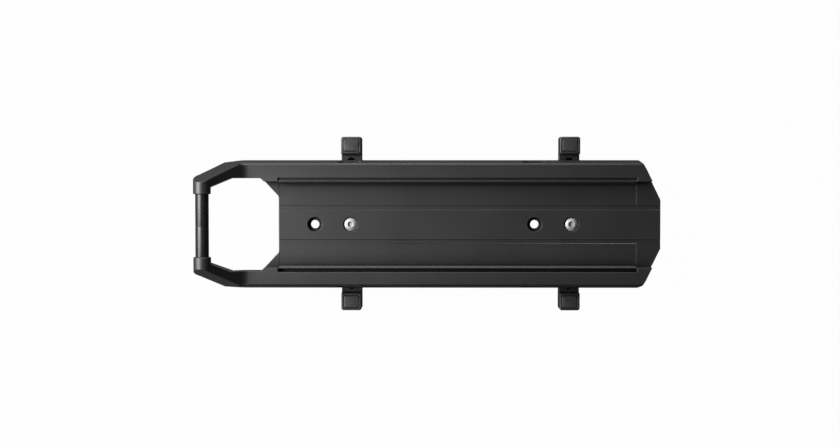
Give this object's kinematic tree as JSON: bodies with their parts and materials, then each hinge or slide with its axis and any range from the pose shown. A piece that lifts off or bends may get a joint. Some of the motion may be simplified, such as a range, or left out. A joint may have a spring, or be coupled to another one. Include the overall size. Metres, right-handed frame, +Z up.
{
  "type": "bike rack adapter",
  "caption": "Moulded adapter plate with a lipped sliding track for a trunk bag, a raised front bar, and slotted hook jaws underneath that clamp onto a bicycle rack's side tubes.",
  "frame": {"origin": "under the middle of the assembly, on the plane of the jaws' undersides", "axes": "+X towards the open tail of the track, +Y to the right-hand side seen from above, +Z up"},
  "size_m": [0.3668, 0.1394, 0.0684],
  "materials": {
    "deck_plastic": "fine-textured black moulding",
    "bar_plastic": "smooth semi-gloss black",
    "jaw_plastic": "fine-textured black moulding",
    "pad_rubber": "dull black rubber",
    "screw_steel": "bright plain steel",
    "nut_steel": "zinc-plated steel",
    "strip_rubber": "dull black rubber"
  },
  "bodies": {
    "deck": {"deck": "deck_plastic", "front_bar": "bar_plastic", "front_outer_grip_strip": "strip_rubber", "front_inner_grip_strip": "strip_rubber", "rear_inner_grip_strip": "strip_rubber", "rear_outer_grip_strip": "strip_rubber"},
    "front_screw": {"front_clamp_screw": "screw_steel"},
    "front_nut": {"front_clamp_nut": "nut_steel"},
    "front_right_hook": {"front_right_jaw": "jaw_plastic", "front_right_jaw_pad": "pad_rubber"},
    "front_left_hook": {"front_left_jaw": "jaw_plastic", "front_left_jaw_pad": "pad_rubber"},
    "rear_screw": {"rear_clamp_screw": "screw_steel"},
    "rear_nut": {"rear_clamp_nut": "nut_steel"},
    "rear_right_hook": {"rear_right_jaw": "jaw_plastic", "rear_right_jaw_pad": "pad_rubber"},
    "rear_left_hook": {"rear_left_jaw": "jaw_plastic", "rear_left_jaw_pad": "pad_rubber"}
  },
  "joints": [
    {"name": "front_screw_turn", "type": "hinge", "parent": "deck", "child": "front_screw", "pos_m": [-0.0625, 0, 0.0302], "axis": [0, 0, -1], "range_deg": [0, 1800]},
    {"name": "front_nut_lift", "type": "slide", "parent": "deck", "child": "front_nut", "axis": [0, 0, 1], "range_m": [0, 0.005]},
    {"name": "front_right_reach", "type": "slide", "parent": "front_nut", "child": "front_right_hook", "axis": [0, 1, 0], "range_m": [-0.012, 0.011]},
    {"name": "front_left_reach", "type": "slide", "parent": "front_nut", "child": "front_left_hook", "axis": [0, -1, 0], "range_m": [-0.012, 0.011]},
    {"name": "rear_screw_turn", "type": "hinge", "parent": "deck", "child": "rear_screw", "pos_m": [0.1128, 0, 0.0302], "axis": [0, 0, -1], "range_deg": [0, 1800]},
    {"name": "rear_nut_lift", "type": "slide", "parent": "deck", "child": "rear_nut", "axis": [0, 0, 1], "range_m": [0, 0.005]},
    {"name": "rear_right_reach", "type": "slide", "parent": "rear_nut", "child": "rear_right_hook", "axis": [0, 1, 0], "range_m": [-0.012, 0.011]},
    {"name": "rear_left_reach", "type": "slide", "parent": "rear_nut", "child": "rear_left_hook", "axis": [0, -1, 0], "range_m": [-0.012, 0.011]}
  ],
  "couplings": [
    {"joint": "front_screw_turn", "follows": "front_nut_lift", "rad_per_m": 6283},
    {"joint": "rear_screw_turn", "follows": "rear_nut_lift", "rad_per_m": 6283}
  ]
}
